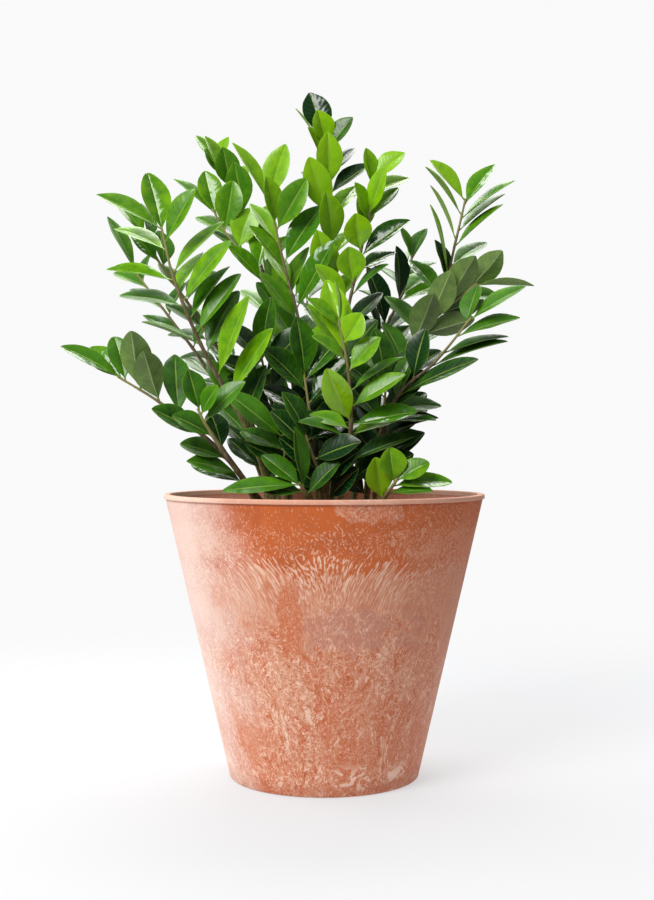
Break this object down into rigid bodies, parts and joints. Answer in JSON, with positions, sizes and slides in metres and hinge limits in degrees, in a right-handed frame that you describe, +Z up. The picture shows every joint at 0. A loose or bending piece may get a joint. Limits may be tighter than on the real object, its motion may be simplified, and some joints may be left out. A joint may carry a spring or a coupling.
{
  "type": "potted zz plant",
  "caption": "Potted ZZ plant: tapered marbled terracotta-coloured pot with drain holes, gravel, soil and rhizomes, and upright arching fronds of glossy paired leaflets.",
  "frame": {"origin": "centre of the pot's underside, on the surface it stands on", "axes": "+Z up along the pot's axis; -Y is the front of the plant; +X is to the right seen from the front"},
  "size_m": [0.4626, 0.3625, 0.7141],
  "materials": {
    "pot": "matte",
    "screen": "matte",
    "gravel": "matte",
    "soil": "matte",
    "rhizome": "matte",
    "stalk": "satin",
    "leaf": "satin"
  },
  "bodies": {
    "root": {"pot": "pot", "drain_screen": "screen", "drainage_gravel": "gravel", "soil": "soil", "rhizome_left_front": "rhizome", "rhizome_left_back": "rhizome", "rhizome_front": "rhizome", "rhizome_middle": "rhizome", "rhizome_right": "rhizome", "rhizome_back": "rhizome", "front_centre_frond_stalk": "stalk", "front_centre_frond_leaflets": "leaf", "rim_left_frond_stalk": "stalk", "rim_left_frond_leaflets": "leaf", "rim_right_frond_stalk": "stalk", "rim_right_frond_leaflets": "leaf", "inner_left_frond_stalk": "stalk", "inner_left_frond_leaflets": "leaf", "inner_centre_frond_stalk": "stalk", "inner_centre_frond_leaflets": "leaf", "inner_right_frond_stalk": "stalk", "inner_right_frond_leaflets": "leaf", "front_low_frond_stalk": "stalk", "front_low_frond_leaflets": "leaf", "left_inner_frond_stalk": "stalk", "left_inner_frond_leaflets": "leaf", "far_left_frond_stalk": "stalk", "far_left_frond_leaflets": "leaf", "left_small_frond_stalk": "stalk", "left_small_frond_leaflets": "leaf", "left_tall_frond_stalk": "stalk", "left_tall_frond_leaflets": "leaf", "right_low_frond_stalk": "stalk", "right_low_frond_leaflets": "leaf", "right_spread_frond_stalk": "stalk", "right_spread_frond_leaflets": "leaf", "right_tall_frond_stalk": "stalk", "right_tall_frond_leaflets": "leaf", "centre_right_frond_stalk": "stalk", "centre_right_frond_leaflets": "leaf", "centre_left_frond_stalk": "stalk", "centre_left_frond_leaflets": "leaf", "centre_tallest_frond_stalk": "stalk", "centre_tallest_frond_leaflets": "leaf", "left_behind_frond_stalk": "stalk", "left_behind_frond_leaflets": "leaf", "left_upper_frond_stalk": "stalk", "left_upper_frond_leaflets": "leaf", "right_behind_frond_stalk": "stalk", "right_behind_frond_leaflets": "leaf", "left_far_back_frond_stalk": "stalk", "left_far_back_frond_leaflets": "leaf", "upper_back_frond_stalk": "stalk", "upper_back_frond_leaflets": "leaf", "back_right_frond_stalk": "stalk", "back_right_frond_leaflets": "leaf", "back_centre_frond_stalk": "stalk", "back_centre_frond_leaflets": "leaf", "back_left_frond_stalk": "stalk", "back_left_frond_leaflets": "leaf"}
  },
  "joints": []
}
